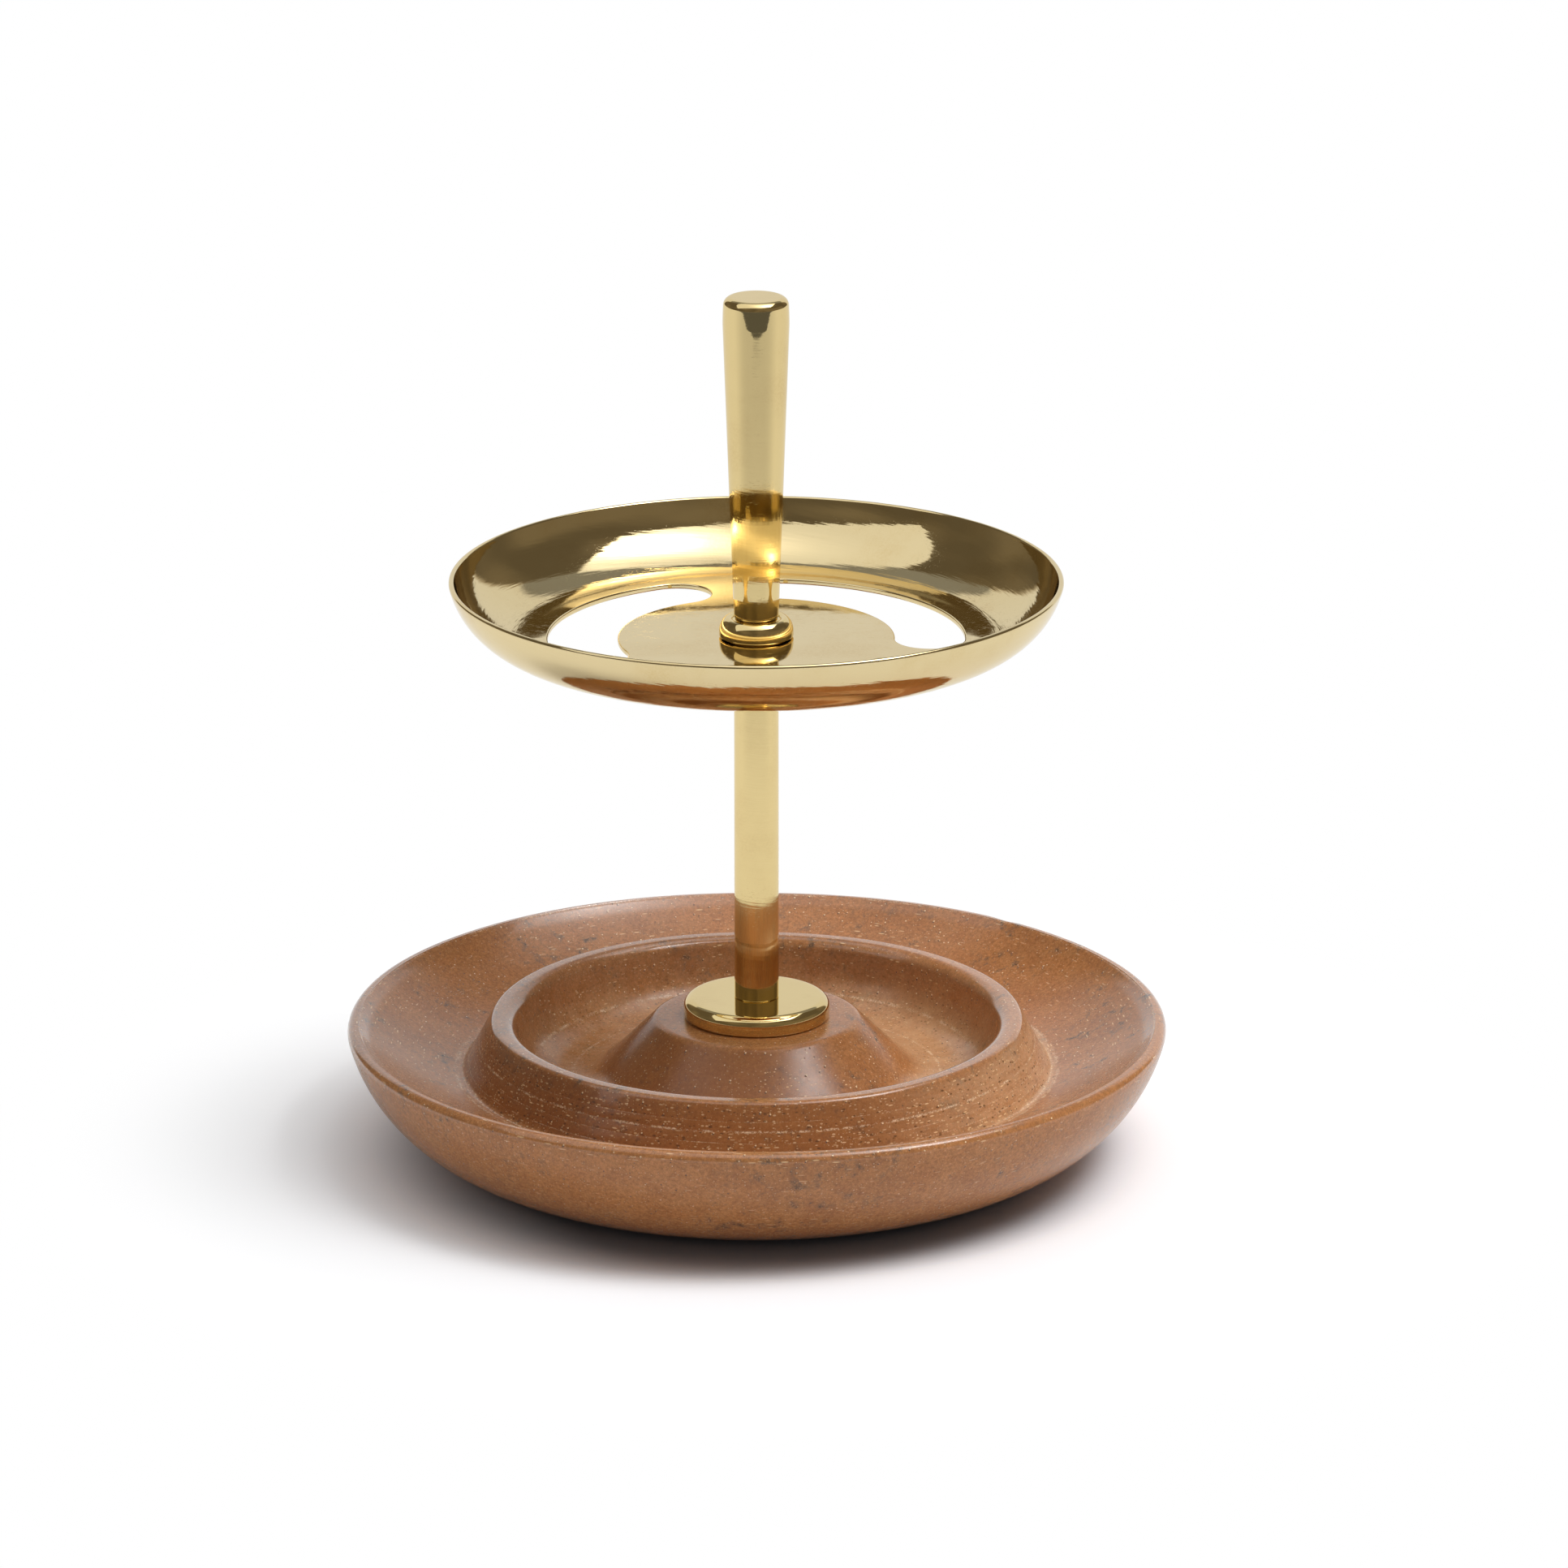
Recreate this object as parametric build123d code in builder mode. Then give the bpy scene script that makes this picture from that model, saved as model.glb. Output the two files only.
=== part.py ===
"""Pen stand: a turned stone bowl, a brass post, a slotted brass dish and a tapered brass handle.

A steel stud runs up the middle, from a nut in a recess under the bowl to a blind thread in the handle,
and pulls the whole stack together. Millimetres, +Z up, origin in the middle of the underside.
"""

import os
from math import atan, atan2, cos, degrees, hypot, radians, sin, tan

from build123d import *

# Felt pad under the bowl
felt_thickness = 1.2
felt_inset = 2.8
felt_edge_round = 0.3

# Stone bowl: diameters
rim_diameter = 150.2
foot_diameter = 111.0
ring_diameter = 92.8
boss_diameter = 37.0

# Stone bowl: heights above its own underside
rim_height = 22.8
tray_floor_height = 13.4
ring_height = 23.4
well_floor_height = 12.2
boss_height = 23.3

# Stone bowl: walls and roundings
outer_wall_bulge = 4.0
lip_width = 2.4
lip_round = 1.5
lip_crease_round = 1.2
tray_hollow = 1.2
tray_corner_round = 1.2
ring_top_width = 3.8
ring_outer_round = 2.0
ring_inner_round = 3.1
ring_outer_slope = 60.0
ring_inner_slope = 75.0
boss_slope = 45.0
boss_edge_round = 2.0
well_round = 8.0
recess_diameter = 20.0
recess_depth = 10.0

# Stud and its fastening under the bowl
stud_diameter = 5.0
stud_end_chamfer = 0.6
stud_tail = 1.5
stud_grip = 18.0
stone_bore_clearance = 0.5
stud_clearance = 0.15
clamp_washer_diameter = 15.0
clamp_washer_thickness = 1.2
lock_washer_width = 2.0
lock_washer_thickness = 1.2
lock_washer_gap = 0.8
lock_washer_gap_lean = 0.6
nut_across_flats = 8.0
nut_height = 4.0
nut_corner_chamfer = 0.5

# Brass foot disc
flange_diameter = 26.7
flange_height = 3.7
flange_top_round = 1.8
flange_bottom_round = 0.6

# Brass post
post_diameter = 8.1
post_length = 67.5
post_end_chamfer = 0.25

# Brass dish
dish_diameter = 111.2
dish_wall = 1.0
dish_curve_radius = 15.0
dish_wall_sweep = 77.9
dish_rim_round = 0.45
slot_count = 3
slot_width = 12.6
slot_land = 7.4
slot_margin = 3.2
slot_turn = 39.5

# Brass collar
collar_diameter = 13.5
collar_top_diameter = 10.0
collar_height = 3.7
collar_foot_height = 0.9
collar_foot_round = 0.6

# Brass handle
handle_length = 59.5
handle_bottom_diameter = 8.1
handle_top_diameter = 12.0
handle_top_round = 1.2
handle_bottom_round = 0.3
thread_run_out = 2.0
drill_point_angle = 118.0

# Most of a straight run that the roundings at its two ends may take up together
rounding_share = 0.95

# Heights of the stack above the desk
stone_z = felt_thickness
recess_z = stone_z + recess_depth
clamp_washer_z = recess_z - clamp_washer_thickness
lock_washer_z = clamp_washer_z - lock_washer_thickness
nut_z = lock_washer_z - nut_height
stud_z = nut_z - stud_tail
flange_z = stone_z + boss_height
post_z = flange_z + flange_height
dish_z = post_z + post_length
collar_z = dish_z + dish_wall
handle_z = collar_z + collar_height
stud_top_z = handle_z + stud_grip

# Bores along the stud
stud_radius = stud_diameter / 2
stone_bore_radius = stud_radius + stone_bore_clearance
stud_bore_radius = stud_radius + stud_clearance


def half_section(height):
    """Upright plane through the axis: its first axis is the radius, its second the height above this one."""
    return Plane(origin=(0, 0, height), x_dir=(1, 0, 0), z_dir=(0, -1, 0))


def round_corner(sketch, point, radius):
    """Round the corner of a sketch that stands nearest to a point."""
    fillet(sketch.vertices().sort_by_distance(point)[0], radius)


def fit_of(width, *corners):
    """Share of the roundings, each a (radius, turn), that fits on the straight width between two corners."""
    reach = sum(radius * tan(radians(turn / 2)) for radius, turn in corners)
    return min(1, rounding_share * width / reach)


def rise_angle(start, end):
    """Angle of the line from one section corner to another above the level."""
    return degrees(atan2(end[1] - start[1], end[0] - start[0]))


def arc_lean(start, end, sagitta):
    """Angle between an arc's chord and the arc itself at its ends."""
    chord = hypot(end[0] - start[0], end[1] - start[1])
    return degrees(2 * atan(2 * sagitta / chord))


# Stone bowl: section corners as radius and height
rim_radius = rim_diameter / 2
foot_radius = foot_diameter / 2
ring_top_outer_radius = ring_diameter / 2 + ring_top_width / 2
ring_top_inner_radius = ring_diameter / 2 - ring_top_width / 2
ring_foot_radius = ring_top_outer_radius + (ring_height - tray_floor_height) / tan(radians(ring_outer_slope))
well_outer_radius = ring_top_inner_radius - (ring_height - well_floor_height) / tan(radians(ring_inner_slope))
well_inner_radius = boss_diameter / 2 + (boss_height - well_floor_height) / tan(radians(boss_slope))

recess_top = (recess_diameter / 2, recess_depth)
recess_mouth = (recess_diameter / 2, 0)
foot_edge = (foot_radius, 0)
rim_edge = (rim_radius, rim_height)
lip_crease = (rim_radius - lip_width, rim_height)
tray_corner = (ring_foot_radius, tray_floor_height)
ring_outer_edge = (ring_top_outer_radius, ring_height)
ring_inner_edge = (ring_top_inner_radius, ring_height)
well_outer_corner = (well_outer_radius, well_floor_height)
well_inner_corner = (well_inner_radius, well_floor_height)
boss_edge = (boss_diameter / 2, boss_height)
bore_top = (stone_bore_radius, boss_height)
bore_bottom = (stone_bore_radius, recess_depth)

# Turns at the two edges of the lip, and the roundings that fit on lip, ring and well floor
rim_turn = 180 - rise_angle(foot_edge, rim_edge) - arc_lean(foot_edge, rim_edge, outer_wall_bulge)
crease_turn = rise_angle(tray_corner, lip_crease) + arc_lean(tray_corner, lip_crease, tray_hollow)
lip_fit = fit_of(lip_width, (lip_round, rim_turn), (lip_crease_round, crease_turn))
ring_fit = fit_of(ring_top_width, (ring_outer_round, ring_outer_slope), (ring_inner_round, ring_inner_slope))
well_floor_width = well_outer_radius - well_inner_radius
well_fit = fit_of(well_floor_width, (well_round, ring_inner_slope), (well_round, boss_slope))

with BuildPart() as stone_base:
    with BuildSketch(half_section(stone_z)) as bowl_section:
        with BuildLine():
            Polyline(bore_bottom, recess_top, recess_mouth, foot_edge)
            SagittaArc(foot_edge, rim_edge, -outer_wall_bulge)
            Line(rim_edge, lip_crease)
            SagittaArc(lip_crease, tray_corner, tray_hollow)
            Polyline(tray_corner, ring_outer_edge, ring_inner_edge, well_outer_corner, well_inner_corner)
            Polyline(well_inner_corner, boss_edge, bore_top, bore_bottom)
        make_face()
        round_corner(bowl_section, rim_edge, lip_round * lip_fit)
        round_corner(bowl_section, lip_crease, lip_crease_round * lip_fit)
        round_corner(bowl_section, tray_corner, tray_corner_round)
        round_corner(bowl_section, ring_outer_edge, ring_outer_round * ring_fit)
        round_corner(bowl_section, ring_inner_edge, ring_inner_round * ring_fit)
        round_corner(bowl_section, well_outer_corner, well_round * well_fit)
        round_corner(bowl_section, well_inner_corner, well_round * well_fit)
        round_corner(bowl_section, boss_edge, boss_edge_round)
    revolve(axis=Axis.Z)

# Felt disc, stuck over the recess
with BuildPart() as felt_pad:
    with BuildSketch():
        Circle(foot_radius - felt_inset)
    extrude(amount=felt_thickness)
    fillet(felt_pad.edges().group_by(Axis.Z)[0], felt_edge_round)

# Brass foot disc
with BuildPart() as foot_flange:
    with BuildSketch(half_section(flange_z)) as flange_section:
        with Locations((stud_bore_radius, 0)):
            Rectangle(flange_diameter / 2 - stud_bore_radius, flange_height, align=(Align.MIN, Align.MIN))
        round_corner(flange_section, (flange_diameter / 2, flange_height), flange_top_round)
        round_corner(flange_section, (flange_diameter / 2, 0), flange_bottom_round)
    revolve(axis=Axis.Z)

# Brass post, a tube over the stud
with BuildPart() as lower_post:
    with BuildSketch(Plane.XY.offset(post_z)):
        Circle(post_diameter / 2)
        Circle(stud_bore_radius, mode=Mode.SUBTRACT)
    extrude(amount=post_length)
    post_rims = lower_post.edges().filter_by(GeomType.CIRCLE).group_by(SortBy.RADIUS)[-1]
    chamfer(post_rims, post_end_chamfer)

# Brass dish: flat floor, wall swept up on one arc, kidney slots for the pens
dish_floor_radius = dish_diameter / 2 - dish_curve_radius * sin(radians(dish_wall_sweep))
slot_radius = dish_floor_radius - slot_margin - slot_width / 2
slot_sweep = 360 / slot_count - degrees((slot_land + slot_width) / slot_radius)
curve_centre = (dish_floor_radius, dish_curve_radius)
dish_rim_fit = fit_of(dish_wall, (dish_rim_round, 90), (dish_rim_round, 90))

with BuildPart() as dish:
    with BuildSketch(half_section(dish_z)) as dish_section:
        with BuildLine():
            outside = CenterArc(curve_centre, dish_curve_radius, -90, dish_wall_sweep)
            inside = CenterArc(curve_centre, dish_curve_radius - dish_wall, -90, dish_wall_sweep)
            Line(outside @ 1, inside @ 1)
            Polyline(inside @ 0, (stud_bore_radius, dish_wall), (stud_bore_radius, 0), outside @ 0)
        make_face()
        round_corner(dish_section, outside @ 1, dish_rim_round * dish_rim_fit)
        round_corner(dish_section, inside @ 1, dish_rim_round * dish_rim_fit)
    revolve(axis=Axis.Z)
    with BuildSketch(Plane.XY.offset(dish_z)):
        with PolarLocations(0, slot_count, start_angle=slot_turn):
            SlotArc(CenterArc((0, 0), slot_radius, -slot_sweep / 2, slot_sweep), slot_width)
    extrude(amount=dish_wall, mode=Mode.SUBTRACT)

# Brass collar, rounded over towards the handle
with BuildPart() as collar:
    with BuildSketch(half_section(collar_z)) as collar_section:
        with BuildLine():
            shoulder = EllipticalCenterArc(
                (collar_top_diameter / 2, collar_foot_height),
                (collar_diameter - collar_top_diameter) / 2,
                collar_height - collar_foot_height,
                start_angle=0,
                arc_size=90,
            )
            Polyline(
                shoulder @ 1,
                (stud_bore_radius, collar_height),
                (stud_bore_radius, 0),
                (collar_diameter / 2, 0),
                shoulder @ 0,
            )
        make_face()
        round_corner(collar_section, (collar_diameter / 2, 0), collar_foot_round)
    revolve(axis=Axis.Z)

# Brass handle with a blind thread for the stud
drill_depth = stud_grip + thread_run_out
drill_tip = drill_depth + stud_radius / tan(radians(drill_point_angle / 2))

with BuildPart() as handle:
    with BuildSketch(half_section(handle_z)) as handle_section:
        with BuildLine():
            Polyline(
                (stud_radius, 0),
                (handle_bottom_diameter / 2, 0),
                (handle_top_diameter / 2, handle_length),
                (0, handle_length),
                (0, drill_tip),
                (stud_radius, drill_depth),
                close=True,
            )
        make_face()
        round_corner(handle_section, (handle_top_diameter / 2, handle_length), handle_top_round)
        round_corner(handle_section, (handle_bottom_diameter / 2, 0), handle_bottom_round)
    revolve(axis=Axis.Z)

# Steel stud through the whole stack
with BuildPart() as tie_stud:
    with BuildSketch(Plane.XY.offset(stud_z)):
        Circle(stud_radius)
    extrude(amount=stud_top_z - stud_z)
    chamfer(tie_stud.edges().filter_by(GeomType.CIRCLE), stud_end_chamfer)

# Wide flat washer against the stone
with BuildPart() as clamp_washer:
    with BuildSketch(Plane.XY.offset(clamp_washer_z)):
        Circle(clamp_washer_diameter / 2)
        Circle(stud_bore_radius, mode=Mode.SUBTRACT)
    extrude(amount=clamp_washer_thickness)

# Split spring washer, cut through on a slant
lock_washer_radius = stud_bore_radius + lock_washer_width

with BuildPart() as lock_washer:
    with BuildSketch(Plane.XY.offset(lock_washer_z)):
        Circle(lock_washer_radius)
        Circle(stud_bore_radius, mode=Mode.SUBTRACT)
    extrude(amount=lock_washer_thickness)
    with BuildSketch(Plane.YZ):
        with BuildLine():
            Polyline(
                (-lock_washer_gap / 2 - lock_washer_gap_lean, lock_washer_z),
                (lock_washer_gap / 2 - lock_washer_gap_lean, lock_washer_z),
                (lock_washer_gap / 2 + lock_washer_gap_lean, clamp_washer_z),
                (-lock_washer_gap / 2 + lock_washer_gap_lean, clamp_washer_z),
                close=True,
            )
        make_face()
    extrude(amount=lock_washer_radius, mode=Mode.SUBTRACT)

# Hexagon nut with its corners turned off
nut_corner_radius = nut_across_flats / 2 / cos(radians(30))

with BuildPart() as stud_nut:
    with BuildSketch(Plane.XY.offset(nut_z)):
        RegularPolygon(nut_across_flats / 2, 6, major_radius=False)
        Circle(stud_radius, mode=Mode.SUBTRACT)
    extrude(amount=nut_height)
    with BuildSketch(half_section(nut_z)):
        with BuildLine():
            Polyline(
                (0, 0),
                (nut_across_flats / 2, 0),
                (nut_corner_radius, nut_corner_chamfer),
                (nut_corner_radius, nut_height - nut_corner_chamfer),
                (nut_across_flats / 2, nut_height),
                (0, nut_height),
                close=True,
            )
        make_face()
    revolve(axis=Axis.Z, mode=Mode.INTERSECT)

pieces = {
    "stone_base": stone_base,
    "felt_pad": felt_pad,
    "foot_flange": foot_flange,
    "lower_post": lower_post,
    "dish": dish,
    "collar": collar,
    "handle": handle,
    "tie_stud": tie_stud,
    "clamp_washer": clamp_washer,
    "lock_washer": lock_washer,
    "stud_nut": stud_nut,
}

os.makedirs("parts", exist_ok=True)
for name, piece in pieces.items():
    piece.part.label = name
    export_step(piece.part, f"parts/{name}.step")
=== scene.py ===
"""Pen stand: a turned stone bowl, a polished brass post, a slotted brass dish and a tapered brass handle.

The turned pieces are rebuilt as fine meshes from the sections of the solids that they stand for.
Sections are in millimetres, as (radius, height above the desk); objects are in metres.
"""

from math import atan, ceil, cos, degrees, exp, hypot, pi, radians, sin, tan

import bmesh
import bpy
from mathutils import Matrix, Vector


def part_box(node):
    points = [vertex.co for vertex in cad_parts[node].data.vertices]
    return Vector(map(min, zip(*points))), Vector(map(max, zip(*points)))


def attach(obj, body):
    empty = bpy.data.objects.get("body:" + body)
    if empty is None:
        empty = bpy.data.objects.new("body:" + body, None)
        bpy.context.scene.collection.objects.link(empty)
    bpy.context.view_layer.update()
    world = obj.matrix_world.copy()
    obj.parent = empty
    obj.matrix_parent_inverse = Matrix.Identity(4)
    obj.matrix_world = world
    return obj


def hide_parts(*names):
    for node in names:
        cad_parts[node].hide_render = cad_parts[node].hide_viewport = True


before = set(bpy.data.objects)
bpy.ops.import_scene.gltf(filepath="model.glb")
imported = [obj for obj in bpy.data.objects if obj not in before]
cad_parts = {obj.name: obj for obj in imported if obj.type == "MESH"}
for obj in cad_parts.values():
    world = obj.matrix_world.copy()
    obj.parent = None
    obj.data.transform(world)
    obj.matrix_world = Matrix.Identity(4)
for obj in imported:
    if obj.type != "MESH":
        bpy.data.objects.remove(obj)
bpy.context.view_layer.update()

MM = 0.001
BODY = "root"


def levels(node):
    """Lowest and highest point of a node, in millimetres above the desk."""
    low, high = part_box(node)
    return low.z / MM, high.z / MM


def width(node):
    """Width of a node across the axis, in millimetres."""
    low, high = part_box(node)
    return (high.x - low.x) / MM


# Heights of the stack, read from the solids
stone_z = levels("stone_base")[0]
flange_z, flange_top_z = levels("foot_flange")
post_z, post_top_z = levels("lower_post")
dish_z = levels("dish")[0]
collar_z, collar_top_z = levels("collar")
handle_z, handle_top_z = levels("handle")
felt_z, felt_top_z = levels("felt_pad")

# Stone bowl
rim_radius = 75.1
foot_radius = 55.5
ring_radius = 46.4
boss_radius = 18.5
rim_height = 22.8
tray_floor_height = 13.4
ring_height = 23.4
well_floor_height = 12.2
wall_bulge = 4.0
lip_width = 2.4
lip_round = 1.5
lip_crease_round = 0.5
tray_hollow = 1.2
tray_corner_round = 1.2
ring_top_width = 3.8
ring_outer_round = 1.1
ring_inner_round = 2.6
ring_outer_slope = 62.0
ring_inner_slope = 75.0
boss_slope = 45.0
boss_edge_round = 2.0
well_round = 8.0
foot_edge_round = 0.5
recess_radius = 10.0
recess_depth = 10.0
stone_bore_radius = 3.0

# Turning lines in the stone: place, half width, depth and chalk from 0 to 1.
# Places are shares of the ring wall's height, or ways out and up from a corner, or radius and height.
ring_lines = (
    (0.52, 0.30, 0.03, 1.0),
    (0.68, 0.12, 0.01, 0.35),
    (0.34, 0.12, 0.012, 0.5),
    (0.16, 0.14, 0.02, 0.6),
)
tray_lines = (((0.2, 0.0), 0.20, 0.02, 0.8), ((1.5, 0.05), 0.60, 0.015, 0.8))
lip_lines = (((-0.1, -0.1), 0.22, 0.02, 0.7),)
well_lines = (((40.6, 14.4), 0.45, 0.02, 1.0), ((33.7, 12.2), 0.40, 0.015, 1.0))

# Slight waves round the bowl: how many, how deep and where they start
out_of_round = ((2, 0.10, 0.6), (5, 0.05, 2.1))
out_of_level = ((3, 0.06, 1.2), (7, 0.03, 0.4))

# One chip in the rim
chip_angle = 50.5
chip_half_width = 2.0
chip_depth = 0.55
chip_inset = 0.4
chip_reach = 3.0
chip_inward, chip_downward = 0.8, 0.6

# Felt pad
felt_radius = width("felt_pad") / 2
felt_edge_round = 0.3
fray_width = 1.0
fray_depth = 0.12
fray_waves = (29, 11)
fray_start = 0.7

# Brass pieces
stud_bore_radius = 2.65
stud_radius = 2.5
flange_top_round = 1.8
flange_bottom_round = 0.6
post_end_round = 0.25
dish_wall = 1.0
dish_curve_radius = 15.0
dish_wall_sweep = 77.9
dish_rim_round = 0.45
slot_count = 3
slot_width = 12.6
slot_land = 7.4
slot_margin = 3.2
slot_turn = 39.5
slot_edge_round = 0.3
collar_crest_radius = 5.05
collar_dip = 0.35
collar_seat_radius = 3.6
collar_foot_height = 0.9
collar_foot_round = 0.3
collar_gap = 0.22
collar_gap_depth = 1.1
handle_bottom_radius = 4.05
handle_top_radius = 6.0
handle_top_round = 1.5
handle_ease_length = 5.0
handle_ease = 0.05
handle_bottom_round = 0.3
drill_depth = 20.0
drill_point_angle = 118.0

# Fineness of the meshes
stone_segments = 440
brass_segments = 360
felt_segments = 480
round_step = 6.0
bore_segments = 72
slot_round_steps = 5
groove_steps = (-1.0, -0.5, 0.0, 0.5, 1.0)
groove_margin = 1.2
sharp_edge_angle = 34.0
least_step = 1e-5


def line(start, end, steps=1):
    """Points on a straight run of a section, both ends included."""
    start, end = Vector(start), Vector(end)
    return [start.lerp(end, k / steps) for k in range(steps + 1)]


def bow(start, end, sagitta, steps=32):
    """Points on an arc between two section points, bowed out by its sagitta to the right of its travel."""
    start, end = Vector(start), Vector(end)
    along = (end - start).normalized()
    side = Vector((along.y, -along.x))
    half_turn = 2 * atan(2 * sagitta / (end - start).length)
    radius = (end - start).length / 2 / sin(half_turn)
    centre = (start + end) / 2 + side * (sagitta - radius)
    angles = [half_turn * (2 * k / steps - 1) for k in range(steps + 1)]
    return [centre + (side * cos(a) + along * sin(a)) * radius for a in angles]


def sweep(centre, radii, start, end, steps=32):
    """Points on an elliptical arc about a centre, between two angles in degrees."""
    angles = [radians(start + (end - start) * k / steps) for k in range(steps + 1)]
    return [Vector((centre[0] + radii[0] * cos(a), centre[1] + radii[1] * sin(a))) for a in angles]


def shorten(run, reach):
    """A run of points without its first stretch of the given length."""
    run = list(run)
    while len(run) > 2 and (run[1] - run[0]).length < reach:
        reach -= (run[1] - run[0]).length
        run.pop(0)
    step = (run[1] - run[0]).length
    run[0] = run[0].lerp(run[1], reach / step)
    return run


def corner_reach(before, after, radius):
    """Bend at the corner between two runs, and how far along each its rounding goes."""
    bend = (before[-1] - before[-2]).angle(after[1] - after[0])
    return bend, radius * tan(bend / 2)


def closed_section(*parts):
    """Join (rounding, run) pairs into one closed section, rounding the corner where each run starts."""
    rounds = [part[0] for part in parts]
    runs = [part[1] for part in parts]
    corners = [corner_reach(runs[k - 1], runs[k], rounds[k]) for k in range(len(runs))]
    points = []
    for k, run in enumerate(runs):
        corner = run[0]
        bend, reach = corners[k]
        next_reach = corners[(k + 1) % len(runs)][1]
        if reach > 0:
            start = shorten(runs[k - 1][::-1], reach)[0]
            end = shorten(run, reach)[0]
            weight = cos(bend / 2)
            steps = max(3, ceil(degrees(bend) / round_step))
            for j in range(steps):
                t = j / steps
                shares = ((1 - t) ** 2, 2 * weight * t * (1 - t), t * t)
                points.append((start * shares[0] + corner * shares[1] + end * shares[2]) / sum(shares))
            run = shorten(run, reach)
        if next_reach > 0:
            run = shorten(run[::-1], next_reach)[::-1]
        last = len(run) if next_reach > 0 else len(run) - 1
        points += run[:last]
    return [p for k, p in enumerate(points) if (p - points[k - 1]).length > least_step]


def score(section, marks):
    """Cut fine turning lines into a closed section, at (point, half width, depth, chalk) marks.

    Returns the new section and, for each of its points, how much chalk lies in it, from 0 to 1."""
    points = [(p, 0.0) for p in section]
    for place, half_width, depth, chalk in marks:
        place = Vector(place)
        count = len(points)
        best = None
        for k in range(count):
            a, b = points[k][0], points[(k + 1) % count][0]
            share = max(0, min(1, (place - a).dot(b - a) / (b - a).length_squared))
            off = (a.lerp(b, share) - place).length
            if best is None or off < best[0]:
                best = (off, a.lerp(b, share), (b - a).normalized(), k)
        _, at, along, k = best
        inward = Vector((-along.y, along.x))
        clear = half_width * groove_margin
        kept = [q for q in points if (q[0] - at).length > clear]
        before = [q for q in points[: k + 1] if (q[0] - at).length > clear]
        groove = []
        for step in groove_steps:
            dip = 1 - abs(step)
            groove.append((at + along * (step * half_width) + inward * (depth * dip), chalk * dip))
        points = before + groove + kept[len(before):]
    return [p for p, _ in points], [chalk for _, chalk in points]


def smooth_mesh(mesh):
    """Shade a mesh smooth, apart from its real edges."""
    mesh.shade_smooth()
    mesh.set_sharp_from_angle(angle=radians(sharp_edge_angle))


def add_object(name, mesh):
    """Put a mesh or a camera into the scene."""
    piece = bpy.data.objects.new(name, mesh)
    bpy.context.scene.collection.objects.link(piece)
    return piece


def turn(name, section, segments, shape=None, chalk=None):
    """Turn a closed section about the axis into a mesh object.

    shape(angle, radius, height) may move a point a little; chalk becomes the mesh's scored attribute."""
    vertices = []
    rings = []
    for radius, height in section:
        if radius < least_step:
            rings.append([len(vertices)] * segments)
            vertices.append((0, 0, height * MM))
            continue
        rings.append(list(range(len(vertices), len(vertices) + segments)))
        for k in range(segments):
            angle = 2 * pi * k / segments
            r, z = shape(angle, radius, height) if shape else (radius, height)
            vertices.append((r * cos(angle) * MM, r * sin(angle) * MM, z * MM))
    faces = []
    for ring, after in zip(rings, rings[1:] + rings[:1]):
        for k in range(segments):
            beside = (k + 1) % segments
            face = list(dict.fromkeys((ring[k], ring[beside], after[beside], after[k])))
            if len(face) > 2:
                faces.append(face)
    mesh = bpy.data.meshes.new(name)
    mesh.from_pydata(vertices, [], faces)
    if chalk:
        scored = mesh.attributes.new("scored", "FLOAT", "POINT")
        scored.data.foreach_set("value", [share for share in chalk for _ in range(segments)])
    smooth_mesh(mesh)
    return add_object(name, mesh)


def stand_for(piece, node, material):
    """Put a finished piece in the place of its solid."""
    piece.data.materials.append(material)
    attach(piece, BODY)
    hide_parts(node)


# Shader building

pick_edge = 0.02
speck_core = 0.55


def node(tree, kind, settings=None, **inputs):
    """Add a shader node, set its properties, and fill or link its inputs by name."""
    made = tree.nodes.new("ShaderNode" + kind)
    for key, value in (settings or {}).items():
        setattr(made, key, value)
    for key, value in inputs.items():
        feed(tree, made.inputs[key.replace("_", " ")], value)
    return made


def feed(tree, socket, value):
    """Link a socket to another one, or set its value."""
    if isinstance(value, bpy.types.NodeSocket):
        tree.links.new(value, socket)
    else:
        socket.default_value = value


def sums(tree, operation, *values, clamp=False):
    """A Math node's result."""
    made = node(tree, "Math", {"operation": operation, "use_clamp": clamp})
    for socket, value in zip(made.inputs, values):
        feed(tree, socket, value)
    return made.outputs[0]


def times(tree, *values):
    """Product of two or more values."""
    product = values[0]
    for value in values[1:]:
        product = sums(tree, "MULTIPLY", product, value)
    return product


def vector_sums(tree, operation, first, second=None, scale=None, out=0):
    """A Vector Math node's result."""
    made = node(tree, "VectorMath", {"operation": operation})
    feed(tree, made.inputs[0], first)
    if second is not None:
        feed(tree, made.inputs[1], second)
    if scale is not None:
        feed(tree, made.inputs["Scale"], scale)
    return made.outputs[out]


def step_up(tree, value, low, high, start=0.0, end=1.0):
    """A smooth step from one value to another as the input goes from low to high."""
    made = node(tree, "MapRange", {"interpolation_type": "SMOOTHSTEP"}, Value=value)
    made.inputs["From Min"].default_value = low
    made.inputs["From Max"].default_value = high
    made.inputs["To Min"].default_value = start
    made.inputs["To Max"].default_value = end
    return made.outputs["Result"]


def inside(tree, value, low, high, edge):
    """1 between two limits, 0 outside them, with soft edges."""
    over = step_up(tree, value, low - edge, low + edge)
    under = step_up(tree, value, high - edge, high + edge, 1.0, 0.0)
    return times(tree, over, under)


def fade_to(tree, share, first, second):
    """Mix of two levels."""
    made = node(tree, "Mix", {"data_type": "FLOAT"})
    for socket, value in zip((made.inputs[0], made.inputs[2], made.inputs[3]), (share, first, second)):
        feed(tree, socket, value)
    return made.outputs[0]


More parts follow.
